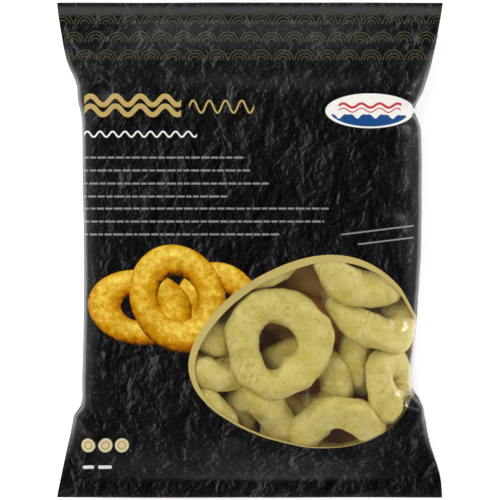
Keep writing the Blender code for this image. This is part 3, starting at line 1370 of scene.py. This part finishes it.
    def fried_ring(self, sheet: Sheet, ring: FriedRing) -> None:
        """Prints one plain golden ring with a shaded tube.

        Args:
            sheet: The print so far.
            ring: The ring's place and sizes.
        """
        crest, swing = (1 + ring.hole) / 2, (1 - ring.hole) / 2
        off = (sheet.oval(ring.x, ring.y, ring.half_long, ring.half_high, ring.turn) - crest) / swing
        dome = (off * off * -1 + 1.0).do("MAXIMUM", 0.0).do("SQRT")
        u, v = sheet.placed(ring.x, ring.y)
        facing = (v * 0.8 - u * 0.25) / sheet.length(u, v).do("MAXIMUM", 1 * MM)
        spot = add_node(sheet.tree, "ShaderNodeCombineXYZ", X=sheet.across, Y=sheet.along)
        mottle = add_node(
            sheet.tree, "ShaderNodeTexNoise", Vector=spot.outputs[0], Scale=1 / self.mottle_size, Detail=6.0,
            Roughness=0.68,
        )
        lit = facing * off * 0.42 + 0.12 + dome * 0.54 + (Number(mottle.outputs["Fac"]) - 0.5) * 1.1
        tone = add_node(sheet.tree, "ShaderNodeValToRGB", Fac=lit)
        inks = (Ink.FRIED_EDGE, Ink.FRIED_DEEP, Ink.FRIED, Ink.FRIED_PALE)
        set_stops(tone.color_ramp, tuple(zip((0.05, 0.24, 0.56, 0.92), (ink.value for ink in inks))))
        mean_half = (ring.half_long + ring.half_high) / 2
        sheet.paint(((abs(off) - 1.0) * (swing * mean_half)).mask(), tone.outputs["Color"])

    @staticmethod
    def badge(sheet: Sheet) -> None:
        """Prints a plain white oval badge with a blue and a red wave.

        Args:
            sheet: The print so far.
        """
        x, y = 72.5 * MM, 84.0 * MM
        half_long, half_high = 27 * MM, 10.5 * MM
        swing, period = 1.2 * MM, 11 * MM
        out = sheet.oval(x, y, half_long, half_high)
        sheet.paint(((out - 1.0) * half_high).mask(), Ink.WHITE)
        inner = ((out - 0.90) * half_high).mask()
        for ink, reach, lift, thick in (
            (Ink.BLUE, half_long, -8.2 * MM, 9.5 * MM),
            (Ink.RED, 19 * MM, 3.2 * MM, 1.5 * MM),
            (Ink.RED, 19 * MM, 0.4 * MM, 0.7 * MM),
        ):
            sheet.paint(sheet.wave(x - reach, x + reach, y + lift, swing, period, thick) * inner, ink)

    def artwork(self, tree: bpy.types.NodeTree) -> bpy.types.NodeSocket:
        """The whole print, from its slate ground up.

        Args:
            tree: The film's material.

        Returns:
            The print's colour.
        """
        sheet = Sheet(tree, self.slate(tree))
        seal_highlight, back_edges = self.seal_masks(tree)
        # Painted highlight along the top seal.
        sheet.paint(seal_highlight, Ink.SEAL_HIGHLIGHT)
        self.fish_scales(sheet)
        margin = self.left_margin
        for ink, *wave in (
            (Ink.GOLD, margin, -41.6 * MM, 90.3 * MM, 2.6 * MM, 15.0 * MM, 3.0 * MM),
            (Ink.GOLD, margin, -41.6 * MM, 84.3 * MM, 2.6 * MM, 15.0 * MM, 3.0 * MM),
            (Ink.GOLD, -36.8 * MM, 2.4 * MM, 86.5 * MM, 3.6 * MM, 9.8 * MM, 1.1 * MM),
            (Ink.WHITE, margin, -32.0 * MM, 69.9 * MM, 1.6 * MM, 7.6 * MM, 1.0 * MM),
        ):
            sheet.paint(sheet.wave(*wave), ink)
        self.small_print(sheet)
        for ink, *bar in (
            (Ink.GREY, 77.0 * MM, 12.0 * MM, 22.0 * MM, 0.45 * MM, 7.0),
            (Ink.GREY, 82.0 * MM, 5.5 * MM, 17.0 * MM, 0.45 * MM, 7.0),
            (Ink.WHITE, -97.5 * MM, -131.0 * MM, 3.4 * MM, 1.0 * MM, 0.0),
            (Ink.WHITE, -87.5 * MM, -131.0 * MM, 4.2 * MM, 1.0 * MM, 0.0),
        ):
            sheet.paint(sheet.bar(*bar), ink)
        self.badge(sheet)
        sheet.paint(back_edges, Ink.SLATE_PALE)
        for ring in self.rings:
            self.fried_ring(sheet, ring)
        for x in (-97.5 * MM, -87.2 * MM, -77.3 * MM):
            out = sheet.length(*sheet.placed(x, -117.8 * MM))
            sheet.paint((out - 4.2 * MM).mask(), Ink.DISC)
            sheet.paint((abs(out - 2.2 * MM) - 0.35 * MM).mask(), Ink.GOLD)
        outside = sheet.length(*BORDER.shares(sheet.across, sheet.along)) - 1
        sheet.paint((outside * BORDER.half_high).mask(), Ink.CREAM)
        return sheet.colour

    def material(self) -> bpy.types.Material:
        """Puts the print on the film's outer side, and on the inner one a warm painted glow that stands in
        for light bounced off the rings.

        Returns:
            The printed film's material.
        """
        material, tree, shader = principled("printed_polyethylene_film")
        inside = add_node(tree, "ShaderNodeNewGeometry").outputs["Backfacing"]
        # Backfaces get the painted bounce glow instead of the print.
        print_and_painted_glow = add_node(
            tree, "ShaderNodeMix", {"data_type": "RGBA"},
            in_0=inside, in_6=self.artwork(tree), in_7=srgb(self.inner_painted_glow),
        )
        tree.links.new(print_and_painted_glow.outputs[2], shader.inputs["Base Color"])
        spot = add_node(tree, "ShaderNodeTexCoord").outputs["Object"]
        ripple = add_node(
            tree, "ShaderNodeTexNoise", Vector=spot, Scale=1 / self.ripple_size, Detail=4.0, Roughness=0.55
        )
        bump = add_node(
            tree, "ShaderNodeBump", Strength=0.35, Distance=self.ripple_depth, Height=ripple.outputs["Fac"]
        )
        tree.links.new(bump.outputs["Normal"], shader.inputs["Normal"])
        shader.inputs["Roughness"].default_value = self.roughness
        shader.inputs["IOR"].default_value = 1.5
        shader.inputs["Specular IOR Level"].default_value = self.sheen
        return material


class Slot(Enum):
    """The record's material slots."""

    PRINTED = "printed_film"
    CLEAR = "window_film"
    BATTER = "battered_ring"


def claim(piece: bpy.types.Object, material: bpy.types.Material) -> None:
    """Gives a piece its material and its body, and hides the imported part that it stands for.

    Args:
        piece: The piece.
        material: Its finish.
    """
    piece.data.materials.clear()
    piece.data.materials.append(material)
    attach(piece, "root")
    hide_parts("bag")
    log.info("%s: %d faces", piece.name, len(piece.data.polygons))


@dataclass
class Bag:
    """The whole bag: its film, its window and the rings in it."""

    skin: FilmSkin = field(default_factory=FilmSkin)
    pile: RingPile = field(default_factory=RingPile)

    def build(self) -> None:
        """Settles the rings in the film, lays the film over them and dresses every piece."""
        self.skin.lay_out()
        log.info("film laid out: %d by %d points", *self.skin.points.shape[:2])
        self.skin.fold_film()
        log.info("film folded")
        film = self.skin.surface()
        self.pile.settle(film)
        rings = self.pile.build(film)
        self.skin.cover(self.pile.surfaces(rings))
        batter = Batter().material()
        for piece in rings:
            claim(piece, batter)
        printed = self.skin.build_mesh()
        opening = self.skin.cut_opening(printed)
        window = self.take_faces(printed, opening)
        claim(new_piece("printed_film", printed), PrintedFilm().material())
        claim(new_piece("window_film", window), ClearFilm().material())

    @staticmethod
    def take_faces(whole: bmesh.types.BMesh, faces: list[bmesh.types.BMFace]) -> bmesh.types.BMesh:
        """Takes faces out of a mesh into a new one.

        Args:
            whole: The mesh that loses the faces.
            faces: The faces to take.

        Returns:
            A mesh of those faces alone.
        """
        whole.faces.index_update()
        numbers = {face.index for face in faces}
        taken = whole.copy()
        others = [face for k, face in enumerate(taken.faces) if k not in numbers]
        bmesh.ops.delete(taken, geom=others, context="FACES")
        bmesh.ops.delete(whole, geom=faces, context="FACES")
        return taken


@dataclass(frozen=True)
class Studio:
    """A pale floor, soft lights and the camera that looks straight down on the bag."""

    floor_size: float = 6.0
    overhead: float = 0.20
    horizon: float = 0.40
    table_glow: float = 0.58

    def build(self) -> None:
        """Makes the floor, the lights, the world and the camera."""
        self.add_floor()
        self.add_light("key", (-1.05, 0.80, 0.95), 0.40, 0.25, 4.5)
        self.add_light("side", (1.60, 0.35, 0.30), 0.20, 0.6, 8.0)
        self.add_light("fill", (0.40, -0.80, 1.35), 0.8, 0.6, 5.5, glints=False)
        self.add_light("back", (0.10, 1.50, 0.95), 1.3, 0.20, 3.0)
        self.add_light("polarised", (-0.60, 0.40, 1.55), 0.8, 0.8, 11.5, glints=False)
        self.set_world()
        self.add_camera()
        bpy.context.scene.view_settings.view_transform = "Standard"

    def add_floor(self) -> None:
        """A plain white floor that glows a little, as a light table does, to keep shadows faint."""
        shape = bmesh.new()
        bmesh.ops.create_grid(shape, x_segments=1, y_segments=1, size=self.floor_size / 2)
        floor = new_piece("studio_floor", shape)
        floor.location.z = -0.6 * MM
        material, _, shader = principled("white_paper")
        shader.inputs["Base Color"].default_value = srgb("#fbfbfb")
        shader.inputs["Roughness"].default_value = 0.9
        shader.inputs["Emission Color"].default_value = (1, 1, 1, 1)
        shader.inputs["Emission Strength"].default_value = self.table_glow
        floor.data.materials.append(material)

    @staticmethod
    def add_light(
        name: str, place: tuple[float, float, float], wide: float, high: float, power: float,
        glints: bool = True,
    ) -> None:
        """Adds a softbox that faces the bag.

        Args:
            name: The light's name.
            place: Where it stands, in metres.
            wide: Its width.
            high: Its height.
            power: Its power in watts.
            glints: Whether glossy film shows its reflection, which a crossed polariser would take away.
        """
        data = bpy.data.lights.new(name, "AREA")
        data.shape = "RECTANGLE"
        data.size, data.size_y, data.energy = wide, high, power
        light = bpy.data.objects.new(name, data)
        light.location = place
        light.visible_glossy = glints
        light.rotation_euler = (Vector((0, 0, 0.03)) - Vector(place)).to_track_quat("-Z", "Y").to_euler()
        bpy.context.scene.collection.objects.link(light)

    def set_world(self) -> None:
        """A plain white surrounding, bright round the horizon and dim overhead."""
        world = bpy.data.worlds.new("studio")
        world.use_nodes = True
        tree = world.node_tree
        way = add_node(tree, "ShaderNodeTexCoord").outputs["Generated"]
        upward = add_node(tree, "ShaderNodeSeparateXYZ", Vector=way).outputs["Z"]
        light = add_node(
            tree, "ShaderNodeMapRange", Value=upward,
            From_Min=0.0, From_Max=0.9, To_Min=self.horizon, To_Max=self.overhead,
        )
        tree.nodes["Background"].inputs["Color"].default_value = (1, 1, 1, 1)
        tree.links.new(light.outputs[0], tree.nodes["Background"].inputs["Strength"])
        bpy.context.scene.world = world

    @staticmethod
    def add_camera() -> None:
        """A long lens that looks straight down, with the top seal at the top of the picture."""
        data = bpy.data.cameras.new("camera")
        data.lens = data.sensor_width * (CAMERA_HEIGHT - VIEW_PLANE) / VIEW_WIDTH
        camera = bpy.data.objects.new("camera", data)
        camera.location = (0, 0, CAMERA_HEIGHT)
        bpy.context.scene.collection.objects.link(camera)
        bpy.context.scene.camera = camera


def main() -> None:
    """Builds the bag and its studio."""
    logging.basicConfig(level=logging.INFO, format="%(relativeCreated)7.0f ms  %(message)s")
    Bag().build()
    Studio().build()


if __name__ == "__main__":
    main()
